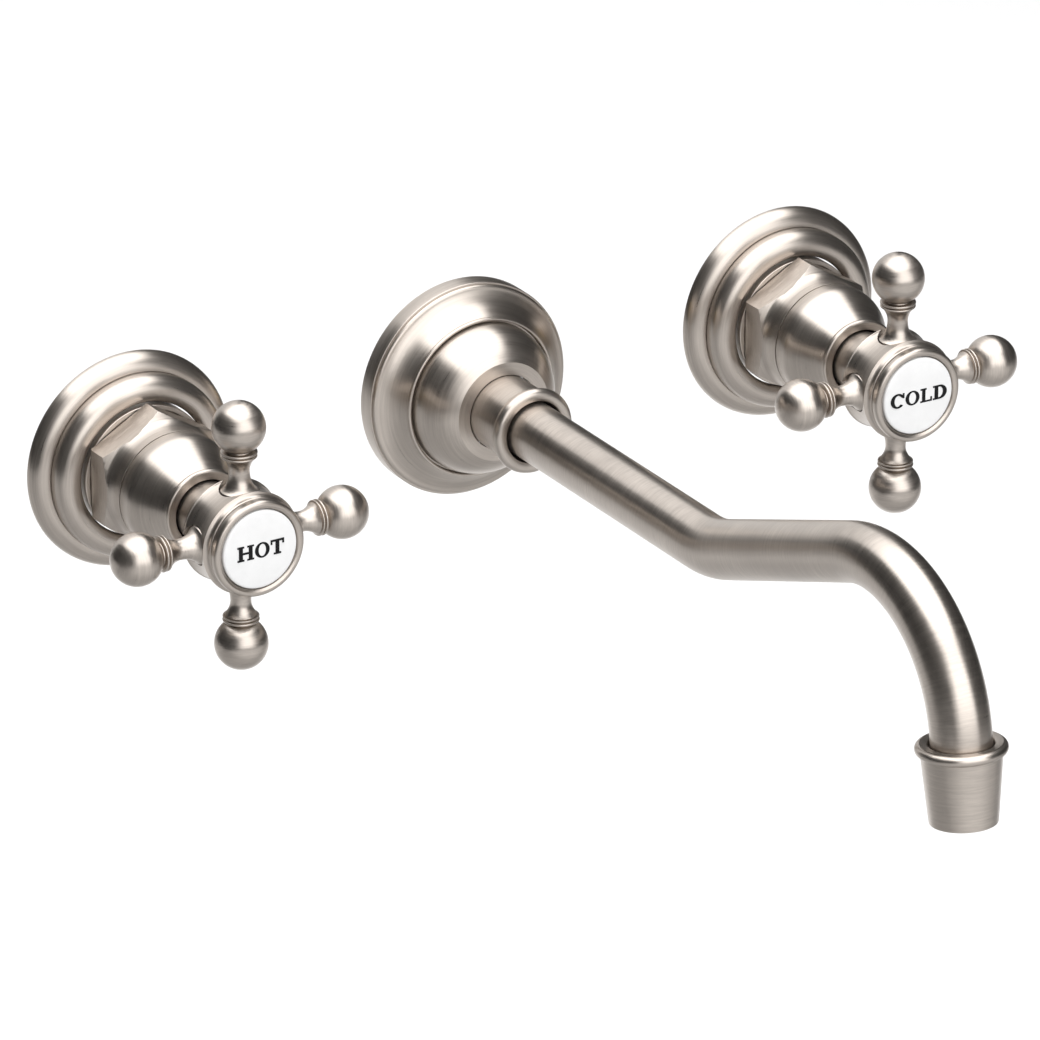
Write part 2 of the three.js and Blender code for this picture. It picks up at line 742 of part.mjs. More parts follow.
// A grub screw from below, through the collar to the tube.
function collarSetScrew() {
  const tip = SPOUT.tubeRadius + GAP;
  const grub = bar(SET_SCREW.radius, tip, collarOuter, ARM_SIDES);
  const socket = bar(SET_SCREW.socket, collarOuter - 1, collarOuter + 1, 6);
  return cut(grub, socket).rotateX(degrees(90)).translate(0, SET_SCREW.at, 0);
}

// The pipe nipple that stands out of the wall.
function spoutNipple() {
  return ring(NIPPLE.bore, NIPPLE.radius, -NIPPLE.behindWall, NIPPLE.bore / 2, TRIM_SIDES);
}

// Screwed on the nipple, it carries the collar on its boss and the tube on its spigot.
function spoutAdapter() {
  const socket = holeFor(NIPPLE.radius, GAP, TRIM_SIDES);
  const socketEnd = NIPPLE.bore / 2 + GAP;
  const boss = collarInner * Math.cos(Math.PI / TRIM_SIDES) - GAP;
  const grooveRadius = spigotRadius - SPOUT_O_RING.depth;
  const groove = ADAPTER.spigotEnd - SPOUT_O_RING.fromEnd;
  const grooveEnd = groove + SPOUT_O_RING.width + 2 * GAP;
  const outline = [
    [socket, ADAPTER.start],
    [socket + ADAPTER.wall, ADAPTER.start],
    [socket + ADAPTER.wall, ADAPTER.shoulder],
    [boss, ADAPTER.shoulder],
    [boss, SPOUT.tubeStart - GAP],
    [spigotRadius, SPOUT.tubeStart - GAP],
    [spigotRadius, groove],
    [grooveRadius, groove],
    [grooveRadius, grooveEnd],
    [spigotRadius, grooveEnd],
    [spigotRadius, ADAPTER.spigotEnd],
    [ADAPTER.bore, ADAPTER.spigotEnd],
    [ADAPTER.bore, socketEnd],
    [socket, socketEnd],
  ];
  return turned(outline, TRIM_SIDES);
}

function spoutORing() {
  const inner = holeFor(spigotRadius - SPOUT_O_RING.depth, GAP / 2, TRIM_SIDES);
  const from = ADAPTER.spigotEnd - SPOUT_O_RING.fromEnd + GAP;
  return ring(inner, spigotRadius, from, from + SPOUT_O_RING.width, TRIM_SIDES);
}

// ---------------------------------------------------------------- outlet

// Distances along the flow from the middle of the cup's bead.
const webTop = SPOUT.intoCup + GAP;
const webBottom = webTop + CUP.wall;
const washerTop = webBottom + GAP;
const housingTop = washerTop + AERATOR.washer + GAP;
const housingEnd = CUP.length - AERATOR.inset;
const bottomRadius = SPOUT.tubeRadius + CUP.bottomStep;
const pocketRadius = bottomRadius - CUP.wall;
const housingRadius = pocketRadius * Math.cos(Math.PI / TRIM_SIDES) - GAP;
const housingBore = housingRadius - AERATOR.wall;
const insertRadius = housingBore * Math.cos(Math.PI / TRIM_SIDES) - GAP;
const lipTop = housingEnd - AERATOR.lip;

// The tapered cup on the end of the tube: a bead, a socket for the tube, and a lower pocket.
function outletCup() {
  const socket = holeFor(SPOUT.tubeRadius, GAP, TRIM_SIDES);
  const cupBead = SPOUT.tubeRadius + CUP.beadStep;
  const outline = [
    [socket + 0.6, -CUP.bead],
    [cupBead - 1, -CUP.bead],
    [cupBead, -CUP.bead / 2],
    [cupBead, CUP.bead / 2],
    [SPOUT.tubeRadius + CUP.topStep, CUP.bead],
    [bottomRadius, CUP.length],
    [pocketRadius, CUP.length],
    [pocketRadius, webBottom],
    [pocketRadius - 1.5, webBottom],
    [pocketRadius - 1.5, webTop],
    [socket, webTop],
    [socket, 0],
  ];
  return turned(outline, TRIM_SIDES);
}

function aeratorWasher() {
  return ring(housingBore - 1.2, housingRadius, washerTop, washerTop + AERATOR.washer, TRIM_SIDES);
}

function aeratorHousing() {
  const outline = [
    [housingBore, housingTop],
    [housingRadius, housingTop],
    [housingRadius, housingEnd],
    [housingBore - 1.2, housingEnd],
    [housingBore - 1.2, lipTop],
    [housingBore, lipTop],
  ];
  return turned(outline, TRIM_SIDES);
}

// A disc with a hole in the middle and a ring of holes, in the housing.
function perforatedDisc(from, to, holeRadius, circleRadius, count) {
  const disc = bar(insertRadius, from, to, TRIM_SIDES);
  const holes = [bar(holeRadius, from - 1, to + 1, PORT_SIDES)];
  for (let index = 0; index < count; index += 1) {
    const angle = (2 * Math.PI * index) / count;
    holes.push(bar(holeRadius, from - 1, to + 1, PORT_SIDES).translate(circleRadius, 0, 0).rotateY(angle));
  }
  return cut(disc, ...holes);
}

function flowRestrictor() {
  const from = housingTop + GAP;
  return perforatedDisc(from, from + AERATOR.restrictor, insertRadius / 10, insertRadius * 0.55, 6);
}

function aeratorScreen() {
  const to = lipTop - GAP;
  return perforatedDisc(to - AERATOR.screen, to, insertRadius / 6, insertRadius * 0.55, 6);
}

// ---------------------------------------------------------------- the whole faucet

function spout() {
  const group = new THREE.Group();
  group.add(
    piece("spout_flange", "nickel", spoutFlange()),
    piece("spout_flange_gasket", "rubber", flangeGasket(SPOUT_FLANGE)),
    piece("spout_flange_ring", "rubber", spoutFlangeRing()),
    piece("spout_nipple", "brass", spoutNipple()),
    piece("spout_adapter", "brass", spoutAdapter()),
    piece("spout_o_ring", "rubber", spoutORing()),
    piece("spout_collar", "nickel", spoutCollar()),
    piece("collar_set_screw", "steel", collarSetScrew()),
    piece("spout_tube", "nickel", spoutTube()),
  );
  const outlet = new THREE.Group();
  outlet.add(
    piece("outlet_cup", "nickel", outletCup()),
    piece("aerator_washer", "rubber", aeratorWasher()),
    piece("aerator_housing", "plastic", aeratorHousing()),
    piece("flow_restrictor", "plastic", flowRestrictor()),
    piece("aerator_screen", "steel", aeratorScreen()),
  );
  outlet.position.copy(route.cupCentre);
  outlet.rotation.x = SPOUT.drop;
  group.add(outlet);
  group.rotation.x = Math.PI;
  return group;
}

const faucet = new THREE.Group();
faucet.add(valve("hot", -VALVE_SPREAD / 2, 1));
faucet.add(valve("cold", VALVE_SPREAD / 2, -1));
faucet.add(spout());

export default faucet;
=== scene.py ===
# Wall mounted bath faucet in brushed nickel: two cross-handle valves and a gooseneck spout.
# Metres, +X right, +Y into the wall, +Z up. The finished wall is the plane y = 0. The trim of
# the valves comes first, then the spout, then what is hidden, and the studio last. Sizes
# of pieces are in millimetres, and the studio's are in metres.
import math

import bmesh
import bpy
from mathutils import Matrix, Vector


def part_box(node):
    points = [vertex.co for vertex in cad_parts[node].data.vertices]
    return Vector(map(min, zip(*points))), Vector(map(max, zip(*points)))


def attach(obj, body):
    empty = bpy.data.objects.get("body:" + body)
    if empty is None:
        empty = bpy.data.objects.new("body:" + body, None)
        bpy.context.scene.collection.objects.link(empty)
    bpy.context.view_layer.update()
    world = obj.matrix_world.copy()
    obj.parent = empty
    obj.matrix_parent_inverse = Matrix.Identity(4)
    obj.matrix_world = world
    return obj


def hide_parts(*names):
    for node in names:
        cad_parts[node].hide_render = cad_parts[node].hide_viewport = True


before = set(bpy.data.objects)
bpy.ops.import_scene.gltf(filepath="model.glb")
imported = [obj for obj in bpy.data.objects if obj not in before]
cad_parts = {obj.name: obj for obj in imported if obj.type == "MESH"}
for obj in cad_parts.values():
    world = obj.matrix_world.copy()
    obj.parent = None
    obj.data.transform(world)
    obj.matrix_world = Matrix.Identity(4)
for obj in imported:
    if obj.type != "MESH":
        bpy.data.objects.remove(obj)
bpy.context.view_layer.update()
bpy.ops.object.select_all(action="DESELECT")


# ---------------------------------------------------------------- handle flanges
# Each valve's wall cover, a rim bead and a raised inner bead round the hole. Spun from
# brass sheet, brushed in the lathe and nickel plated, and trapped behind the bonnet.
mm = 0.001
crease = math.radians(23)  # edges sharper than this stay crisp on a turned piece
nickel_colour = (0.63, 0.57, 0.51)
nickel_tones = ((0.44, 0.396, 0.358), (0.7, 0.635, 0.572))
nickel_gloss = (0.27, 0.37)
nickel_sheen = 0.6  # how far a highlight is drawn out
sheen_lie = 0.25  # in turns, so that it is drawn out across the brush lines
brush_depth = 0.014
brush_across, brush_along = 1700, 1.1  # grain to a metre across the lines, a radian along
hot_x = (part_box("hot_flange")[0].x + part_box("hot_flange")[1].x) / 2
cold_x = (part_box("cold_flange")[0].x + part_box("cold_flange")[1].x) / 2


def pick(kind, test):
    """In edit mode, selects the vertices, edges or faces that pass the test, and no others."""
    mesh = bmesh.from_edit_mesh(bpy.context.object.data)
    bpy.ops.mesh.select_mode(type=kind)
    bpy.ops.mesh.select_all(action="DESELECT")
    for part in {"VERT": mesh.verts, "EDGE": mesh.edges, "FACE": mesh.faces}[kind]:
        if test(part):
            part.select_set(True)
    mesh.select_flush_mode()
    bmesh.update_edit_mesh(bpy.context.object.data)


def arc(centre, radius, start, end, steps=10):
    """Points of a section on an arc, from one angle to another. 0 is outwards, 90 off the wall."""
    points = []
    for step in range(steps + 1):
        angle = math.radians(start + (end - start) * step / steps)
        points.append((centre[0] + radius * math.cos(angle), centre[1] + radius * math.sin(angle)))
    return points


def bow(start, pull, end, steps=12):
    """Points of a section on a smooth bow that leaves and arrives pointing at the pull."""
    points = []
    for step in range(steps + 1):
        share = step / steps
        a, b, c = (1 - share) ** 2, 2 * share * (1 - share), share**2
        points.append(tuple(a * s + b * p + c * e for s, p, e in zip(start, pull, end)))
    return points


def turned(name, section, sides=128):
    """A piece spun about Y from a closed section of (radius, distance out, rounding) corners."""
    bpy.ops.mesh.primitive_circle_add(vertices=len(section), radius=10 * mm)
    piece = bpy.context.object
    piece.name = name
    for vertex, corner in zip(piece.data.vertices, section):
        vertex.co = (corner[0] * mm, -corner[1] * mm, 0)
    bpy.ops.object.mode_set(mode="EDIT")
    for corner in section:
        if len(corner) == 3:
            place = Vector((corner[0] * mm, -corner[1] * mm, 0))
            pick("VERT", lambda v: (v.co - place).length < 1e-7)
            bpy.ops.mesh.bevel(offset=corner[2] * mm, segments=5, affect="VERTICES")
    # An edge on the axis would spin into nothing.
    pick("EDGE", lambda e: all(abs(v.co.x) < 1e-7 for v in e.verts))
    bpy.ops.mesh.delete(type="EDGE")
    bpy.ops.mesh.select_all(action="SELECT")
    bpy.ops.mesh.spin(steps=sides, angle=2 * math.pi, center=(0, 0, 0), axis=(0, 1, 0))
    bpy.ops.mesh.select_all(action="SELECT")
    bpy.ops.mesh.remove_doubles(threshold=1e-6)
    bpy.ops.mesh.normals_make_consistent(inside=False)
    bpy.ops.object.mode_set(mode="OBJECT")
    bpy.ops.object.shade_smooth_by_angle(angle=crease)
    return piece


def placed(piece, move=(0, 0, 0), turn=0, axis="Y"):
    """Turns a finished piece about the origin, moves it, and leaves its place in its mesh."""
    bpy.ops.object.select_all(action="DESELECT")
    piece.select_set(True)
    bpy.context.view_layer.objects.active = piece
    if turn:
        # With no window the turn runs the other way.
        bpy.ops.transform.rotate(
            value=-math.radians(turn), orient_axis=axis, center_override=(0, 0, 0)
        )
    bpy.ops.transform.translate(value=move)
    bpy.ops.object.transform_apply(location=True, rotation=True, scale=True)


def copied(piece, name):
    """A second piece like the first, with a mesh of its own."""
    bpy.ops.object.select_all(action="DESELECT")
    piece.select_set(True)
    bpy.context.view_layer.objects.active = piece
    bpy.ops.object.duplicate(linked=False)
    bpy.context.object.name = name
    bpy.context.object.data.name = name
    return bpy.context.object


def add_node(finish, kind, inputs=None, **settings):
    """Adds a shader node to a finish. Each input is a value, or the output that feeds it."""
    made = finish.node_tree.nodes.new("ShaderNode" + kind)
    for setting, value in settings.items():
        setattr(made, setting, value)
    for socket, value in (inputs or {}).items():
        if isinstance(value, bpy.types.NodeSocket):
            finish.node_tree.links.new(value, made.inputs[socket])
        else:
            made.inputs[socket].default_value = value
    return made


def new_finish(name, colour, metallic, roughness):
    """A material with one shader, whose even values are set on the shader itself."""
    finish = bpy.data.materials.new(name)
    finish.use_nodes = True
    shader = finish.node_tree.nodes["Principled BSDF"]
    shader.inputs["Base Color"].default_value = (*colour, 1)
    shader.inputs["Metallic"].default_value = metallic
    shader.inputs["Roughness"].default_value = roughness
    return finish, shader


def brush(finish, shader, place, around, lap):
    """Brush lines from a place in the grain: their tone, gloss, relief and lie."""
    wires = finish.node_tree.links
    lines = add_node(
        finish,
        "TexNoise",
        {"Vector": place, "W": around, "Scale": 1, "Detail": 5, "Roughness": 0.7},
        noise_dimensions="4D",
    )
    tone = add_node(
        finish,
        "MapRange",
        {
            "Value": lines.outputs["Fac"],
            "From Min": 0.3,
            "From Max": 0.7,
            "To Min": 0,
            "To Max": 1,
        },
    )
    spots = add_node(finish, "TexCoord")
    patina = add_node(
        finish,
        "TexNoise",
        {"Vector": spots.outputs["Object"], "Scale": 70, "Detail": 3, "Roughness": 0.5},
    )
    share = add_node(
        finish, "Math", {0: tone.outputs["Result"], 1: patina.outputs["Fac"]}, operation="MULTIPLY"
    )
    colour = add_node(
        finish,
        "Mix",
        {0: share.outputs["Value"], 6: (*nickel_tones[0], 1), 7: (*nickel_tones[1], 1)},
        data_type="RGBA",
    )
    gloss = add_node(
        finish,
        "MapRange",
        {
            "Value": lines.outputs["Fac"],
            "From Min": 0.3,
            "From Max": 0.7,
            "To Min": nickel_gloss[0],
            "To Max": nickel_gloss[1],
        },
    )
    relief = add_node(
        finish,
        "Bump",
        {"Strength": 1, "Distance": brush_depth * mm, "Height": lines.outputs["Fac"]},
    )
    wires.new(colour.outputs[2], shader.inputs["Base Color"])
    wires.new(gloss.outputs["Result"], shader.inputs["Roughness"])
    wires.new(relief.outputs["Normal"], shader.inputs["Normal"])
    wires.new(lap, shader.inputs["Tangent"])


def brushed_nickel(name, centre=(0, 0, 0), tilt=(0, 0, 0), lie=sheen_lie):
    """Satin nickel, brushed in the lathe in rings about the Y axis of a tilted centre."""
    finish, shader = new_finish(name, nickel_colour, 1, 0.3)
    shader.inputs["Anisotropic"].default_value = nickel_sheen
    shader.inputs["Anisotropic Rotation"].default_value = lie
    place = add_node(finish, "TexCoord").outputs["Object"]
    local = add_node(
        finish,
        "Mapping",
        {"Vector": place, "Location": centre, "Rotation": tilt},
        vector_type="TEXTURE",
    ).outputs["Vector"]
    flat = add_node(
        finish, "VectorMath", {0: local, 1: (1, 0, 1)}, operation="MULTIPLY"
    ).outputs["Vector"]
    radius = add_node(finish, "VectorMath", {0: flat}, operation="LENGTH").outputs["Value"]
    spoke = add_node(finish, "VectorMath", {0: flat}, operation="NORMALIZE").outputs["Vector"]
    parts = add_node(finish, "SeparateXYZ", {"Vector": spoke}).outputs
    along = add_node(finish, "SeparateXYZ", {"Vector": local}).outputs["Y"]

    def times(value, factor):
        product = add_node(finish, "Math", {0: value, 1: factor}, operation="MULTIPLY")
        return product.outputs["Value"]

    pitch = times(radius, brush_across)
    depth = times(along, brush_across)
    east = times(parts["X"], brush_along)
    north = times(parts["Z"], brush_along)
    grain = add_node(finish, "CombineXYZ", {"X": pitch, "Y": depth, "Z": east}).outputs["Vector"]
    axis = add_node(
        finish, "VectorRotate", {"Vector": (0, 1, 0), "Rotation": tilt}, rotation_type="EULER_XYZ"
    ).outputs["Vector"]
    offset = add_node(
        finish, "VectorMath", {0: place, 1: centre}, operation="SUBTRACT"
    ).outputs["Vector"]
    ring = add_node(
        finish, "VectorMath", {0: axis, 1: offset}, operation="CROSS_PRODUCT"
    ).outputs["Vector"]
    lap = add_node(
        finish,
        "VectorTransform",
        {"Vector": ring},
        vector_type="VECTOR",
        convert_from="OBJECT",
        convert_to="WORLD",
    ).outputs["Vector"]
    brush(finish, shader, grain, north, lap)
    return finish


def dress(piece, finish):
    """Gives a piece its one finish."""
    piece.data.materials.clear()
    piece.data.materials.append(finish)


hot_nickel = brushed_nickel("brushed_nickel_hot", (hot_x, 0, 0))
cold_nickel = brushed_nickel("brushed_nickel_cold", (cold_x, 0, 0))
hot_flange = turned(
    "handle_flange_hot",
    [
        (30.25, 0, 0.3),
        *arc((25.75, 0.3), 4.5, 0, 90)[1:],
        (25.7, 4.0),
        (25.35, 4.0),
        (25.6, 5.4),
        *arc((21.8, 6.8), 3.9, 0, 90, 14),
        *bow((21.5, 10.7), (19.3, 10.6), (18.75, 8.9), 14),
        (18.75, 8.2, 0.2),
        (19.6, 8.2, 0.2),
        (21.6, 8.9, 1),
        (24, 7, 1),
        (24, 3.2, 1),
        (28.2, 2.4, 1),
        (28.2, 0, 0.3),
    ],
)
cold_flange = copied(hot_flange, "handle_flange_cold")
placed(hot_flange, (hot_x, 0, 0))
placed(cold_flange, (cold_x, 0, 0))
dress(hot_flange, hot_nickel)
dress(cold_flange, cold_nickel)
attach(hot_flange, "root")
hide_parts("hot_flange")
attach(cold_flange, "root")
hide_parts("cold_flange")


# ---------------------------------------------------------------- bonnets
# The hexagon and the bell it flows into, one piece turned from brass bar, with six flats
# milled across its foot. It screws on the valve body and holds the flange to the wall.
hex_flat = 16.8  # from the axis to a flat
hex_foot = 10.95  # the hexagon starts here, and the round foot behind it isn't cut
bonnet = turned(
    "bonnet_hot",
    [
        (13.6, 6.0, 0.3),
        (18.35, 6.0, 0.3),
        (18.35, 10.75, 0.25),
        (17.1, 10.75),
        (16.3, 10.1),
        (16.3, 11.1),
        (19.4, 11.1, 0.15),
        (19.4, 17.5),
        (18.35, 18.3),
        *bow((17.4, 19.0), (16.4, 19.8), (16.2, 23.0), 12),
        (16.2, 25.2),
        (15.4, 25.25),
        (15.4, 25.7),
        (16.25, 25.75),
        *bow((16.28, 26.4), (16.7, 29.6), (15.6, 31.8), 10),
        *bow((14.9, 33.2), (12.0, 38.4), (11.25, 41.3), 10),
        *arc((10.95, 42.35), 0.75, -40, 95, 8),
        (8.95, 43.05, 0.2),
        (8.95, 42.1),
        (10.2, 42.1, 0.2),
        (10.2, 38.6, 0.1),
        (9.35, 38.6, 0.1),
        (9.35, 37.4),
        (13.6, 31, 0.5),
    ],
)
bpy.ops.object.mode_set(mode="EDIT")
for side in range(6):
    angle = math.radians(60 * side)
    out = (math.cos(angle), 0, math.sin(angle))
    pick("FACE", lambda f: all(v.co.y < -hex_foot * mm for v in f.verts))
    bpy.ops.mesh.bisect(
        plane_co=Vector(out) * hex_flat * mm, plane_no=out, use_fill=True, clear_outer=True
    )
bpy.ops.object.mode_set(mode="OBJECT")
edges = bonnet.modifiers.new("edges", "BEVEL")
edges.width = 0.2 * mm
edges.segments = 2
edges.angle_limit = math.radians(38)
bpy.ops.object.modifier_apply(modifier="edges")
bpy.ops.object.shade_smooth_by_angle(angle=math.radians(28))
weight = bonnet.modifiers.new("weight", "WEIGHTED_NORMAL")
weight.keep_sharp = True
bpy.ops.object.modifier_apply(modifier="weight")
cold_bonnet = copied(bonnet, "bonnet_cold")
placed(bonnet, (hot_x, 0, 0))
placed(cold_bonnet, (cold_x, 0, 0))
dress(bonnet, hot_nickel)
dress(cold_bonnet, cold_nickel)
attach(bonnet, "root")
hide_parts("hot_bonnet")
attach(cold_bonnet, "root")
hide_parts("cold_bonnet")


# ---------------------------------------------------------------- handle hubs
# The waisted barrel of each cross handle, turned from brass with a sleeve behind it that
# runs in the bonnet, and four counterbored seats that the arms screw into.
reach = 61.2  # from the wall to the middle of the arms
seat_radius, seat_floor, seat_mouth = 5.4, 12, 18


def cut_or_join(piece, act="DIFFERENCE"):
    """Cuts the newest shape out of a piece, or joins it on, and clears the shape away."""
    shape = bpy.context.object
    bpy.context.view_layer.objects.active = piece
    change = piece.modifiers.new("change", "BOOLEAN")
    change.operation = act
    change.object = shape
    bpy.ops.object.modifier_apply(modifier="change")
    bpy.data.objects.remove(shape)


hub = turned(
    "hub_hot",
    [
        (4.35, 36.2, 0.2),
        (8.4, 36.2, 0.4),
        (8.4, 56.0),
        (14.15, 56.0),
        (14.35, 56.2),
        (14.3, 56.45),
        *bow((14.15, 56.6), (13.15, 61.6), (14.15, 66.5), 14),
        (14.2, 66.9),
        *bow((14.0, 67.0), (13.1, 67.2), (12.95, 68.1), 10)[1:],
        *arc((12.95, 68.65), 0.45, -60, 90, 10),
        (12.6, 69.2),
        (6.5, 69.2, 0.2),
        (6.5, 57.4),
        (4.35, 57.4),
    ],
)
for quarter in range(4):
    angle = math.radians(90 * quarter)
    out = Vector((math.cos(angle), 0, math.sin(angle)))
    bpy.ops.mesh.primitive_cylinder_add(
        vertices=64,
        radius=seat_radius * mm,
        depth=(seat_mouth - seat_floor) * mm,
        location=out * (seat_floor + seat_mouth) / 2 * mm + Vector((0, -reach * mm, 0)),
        rotation=(0, math.radians(90) - angle, 0),
    )
    cut_or_join(hub)
cold_hub = copied(hub, "hub_cold")
placed(hub, (hot_x, 0, 0))
placed(cold_hub, (cold_x, 0, 0))
dress(hub, hot_nickel)
dress(cold_hub, cold_nickel)
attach(hub, "hot_handle")
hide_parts("hot_hub")
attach(cold_hub, "cold_handle")
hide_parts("cold_hub")


# ---------------------------------------------------------------- handle arms
# Four to a handle, each a flared stalk, a collar of two thin rings and a ball. Turned in one
# piece from brass rod, plated, and screwed into its seat in the hub.
arm = turned(
    "arm_blank",
    [
        (0, 8.4),
        (2.5, 8.4, 0.3),
        (2.5, 12.2),
        (5.1, 12.2, 0.2),
        (5.1, 12.7),
        *bow((5.0, 12.95), (2.8, 14.4), (2.75, 18.4), 12),
        *bow((2.75, 18.6), (2.9, 20.6), (4.3, 22.15), 10)[1:],
        (4.15, 22.35),
        *arc((4.55, 22.65), 0.28, -90, 90, 8),
        (4.2, 23.1),
        *arc((4.55, 23.65), 0.35, -90, 90, 10),
        (3.5, 24.1),
        *arc((0, 30.51), 7.15, -61, 88, 30),
        (0, 37.66),
    ],
    sides=96,
)
placed(arm, turn=-90, axis="X")
arm_nickel = {}
for valve, axis_x in (("hot", hot_x), ("cold", cold_x)):
    middle = (axis_x, -reach * mm, 0)
    arm_nickel[valve] = [
        brushed_nickel(f"brushed_nickel_{valve}_{way}", middle, tilt, 0)
        for way, tilt in (
            ("upright", (math.radians(90), 0, 0)),
            ("level", (0, 0, math.radians(90))),
        )
    ]
for side, label in enumerate(("top", "right", "bottom", "left")):
    for valve, axis_x in (("hot", hot_x), ("cold", cold_x)):
        piece = copied(arm, f"arm_{valve}_{label}")
        placed(piece, (axis_x, -reach * mm, 0), turn=90 * side, axis="Y")
        dress(piece, arm_nickel[valve][side % 2])
        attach(piece, f"{valve}_handle")
        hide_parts(f"{valve}_arm_{label}")
bpy.data.objects.remove(arm)


# ---------------------------------------------------------------- bezel rings and buttons
# A ring turned from brass and plated, screwed on the front of the hub. It holds the button,
# white glazed porcelain, with a stub behind that plugs the hub's bore.
def aged(finish, shader, tones, rough, scale, depth):
    """Uneven tone, gloss and relief from one fine noise, for finishes that aren't brushed."""
    wires = finish.node_tree.links
    spots = add_node(finish, "TexCoord")
    wear = add_node(
        finish,
        "TexNoise",
        {"Vector": spots.outputs["Object"], "Scale": scale, "Detail": 6, "Roughness": 0.6},
    )
    share = add_node(
        finish,
        "MapRange",
        {
            "Value": wear.outputs["Fac"],
            "From Min": 0.35,
            "From Max": 0.65,
            "To Min": 0,
            "To Max": 1,
        },
    )
    colour = add_node(
        finish,
        "Mix",
        {0: share.outputs["Result"], 6: (*tones[0], 1), 7: (*tones[1], 1)},
        data_type="RGBA",
    )
    gloss = add_node(
        finish,
        "MapRange",
        {
            "Value": wear.outputs["Fac"],
            "From Min": 0.35,
            "From Max": 0.65,
            "To Min": rough[1],
            "To Max": rough[0],
        },
    )
    relief = add_node(
        finish, "Bump", {"Strength": 1, "Distance": depth * mm, "Height": wear.outputs["Fac"]}
    )
    wires.new(colour.outputs[2], shader.inputs["Base Color"])
    wires.new(gloss.outputs["Result"], shader.inputs["Roughness"])
    wires.new(relief.outputs["Normal"], shader.inputs["Normal"])


bezel = turned(
    "bezel_hot",
    [
        (11.15, 69.6),
        (13.35, 69.6, 0.3),
        (13.35, 72.0, 1.0),
        (12.0, 72.0),
        (11.3, 71.7, 0.3),
        (11.15, 71.2),
    ],
)
button = turned(
    "button_hot",
    [
        (0, 65.7),
        (5.8, 65.7, 0.3),
        (5.8, 69.75),
        (10.9, 69.75, 0.2),
        (10.9, 72.0, 0.5),
        *bow((10.0, 72.12), (5, 72.35), (0, 72.35), 6),
    ],
)
porcelain, glaze = new_finish("glazed_porcelain", (0.81, 0.81, 0.81), 0, 0.1)
aged(porcelain, glaze, ((0.79, 0.79, 0.79), (0.83, 0.83, 0.83)), (0.08, 0.16), 180, 0.006)
for piece, node, slot, finishes in (
    (bezel, "bezel_ring", "brushed_nickel", (hot_nickel, cold_nickel)),
    (button, "button", "white_porcelain", (porcelain, porcelain)),
):
    twin = copied(piece, piece.name.replace("hot", "cold"))
    placed(piece, (hot_x, 0, 0))
    placed(twin, (cold_x, 0, 0))
    dress(piece, finishes[0])
    dress(twin, finishes[1])
    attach(piece, "hot_handle")
    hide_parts("hot_" + node)
    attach(twin, "cold_handle")
    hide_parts("cold_" + node)


# ---------------------------------------------------------------- hot and cold letters
# The words HOT and COLD across the buttons, in plain slab letters. Black enamel, printed on
# the glaze and fired. Each letter is drawn about its own middle in shares of its height.
def oval(half_width, half_height, start=0, end=360, steps=48, middle=0):
    """Corners along an oval from one angle to another, the last one left out on a full turn."""
    points = []
    for step in range(steps if abs(end - start) == 360 else steps + 1):
        angle = math.radians(start + (end - start) * step / steps)
        points.append((middle + half_width * math.cos(angle), half_height * math.sin(angle)))
    return points


def mirrored(half):
    """A left-right symmetric outline from its right half, given from the bottom up."""
    return half + [(-x, z) for x, z in reversed(half)]


ink_back, ink_depth = 72.18, 0.22
stem, serif = 0.13, 0.38
h_corner = [(0.2, 0.07), (0.2, serif), (0.1, serif), (0.1, 0.5), (0.56, 0.5), (0.56, serif)]
h_corner += [(0.46, serif), (0.46, 0)]
h_right = [(x, -z) for x, z in h_corner] + h_corner[-2::-1]
t_right = [(0.25, -0.5), (0.25, -serif), (stem, -serif), (stem, 0.36), (0.34, 0.36), (0.34, 0.18)]
t_right += [(0.46, 0.18), (0.46, 0.5)]
l_foot = [(-0.42, -0.5), (0.42, -0.5), (0.42, -0.18), (0.3, -0.18), (0.3, -serif)]
l_stem = [(-0.06, -serif), (-0.06, serif), (0.02, serif), (0.02, 0.5), (-0.42, 0.5)]
l_stem += [(-0.42, serif), (-0.3, serif), (-0.3, -serif), (-0.42, -serif)]
d_back = [(-0.5, 0.5), (-0.5, serif), (-0.38, serif), (-0.38, -serif), (-0.5, -serif)]
d_back += [(-0.5, -0.5)]
c_jaw = [(0.35, 0.14), (0.46, 0.14), (0.46, 0.5), (0.35, 0.5)]
outlines = {
    "H": (0.55, [mirrored(h_right)]),
    "O": (0.5, [oval(0.5, 0.52), oval(0.25, 0.41)]),
    "T": (0.46, [mirrored(t_right)]),
    "L": (0.42, [l_foot + l_stem]),
    "D": (
        0.5,
        [
            oval(0.52, 0.5, -90, 90, 24, -0.02) + d_back,
            oval(0.27, serif, -90, 90, 24, -0.04) + [(-0.12, serif), (-0.12, -serif)],
        ],
    ),
    "C": (0.48, [oval(0.5, 0.52, 48, 318, 36) + oval(0.25, 0.4, 318, 52, 30) + c_jaw]),
}
enamel, enamel_shader = new_finish("black_enamel", (0.01, 0.01, 0.011), 0, 0.5)
enamel_shader.inputs["Specular IOR Level"].default_value = 0.1
enamel_tones = ((0.006, 0.006, 0.007), (0.014, 0.014, 0.015))
aged(enamel, enamel_shader, enamel_tones, (0.45, 0.6), 2500, 0.004)
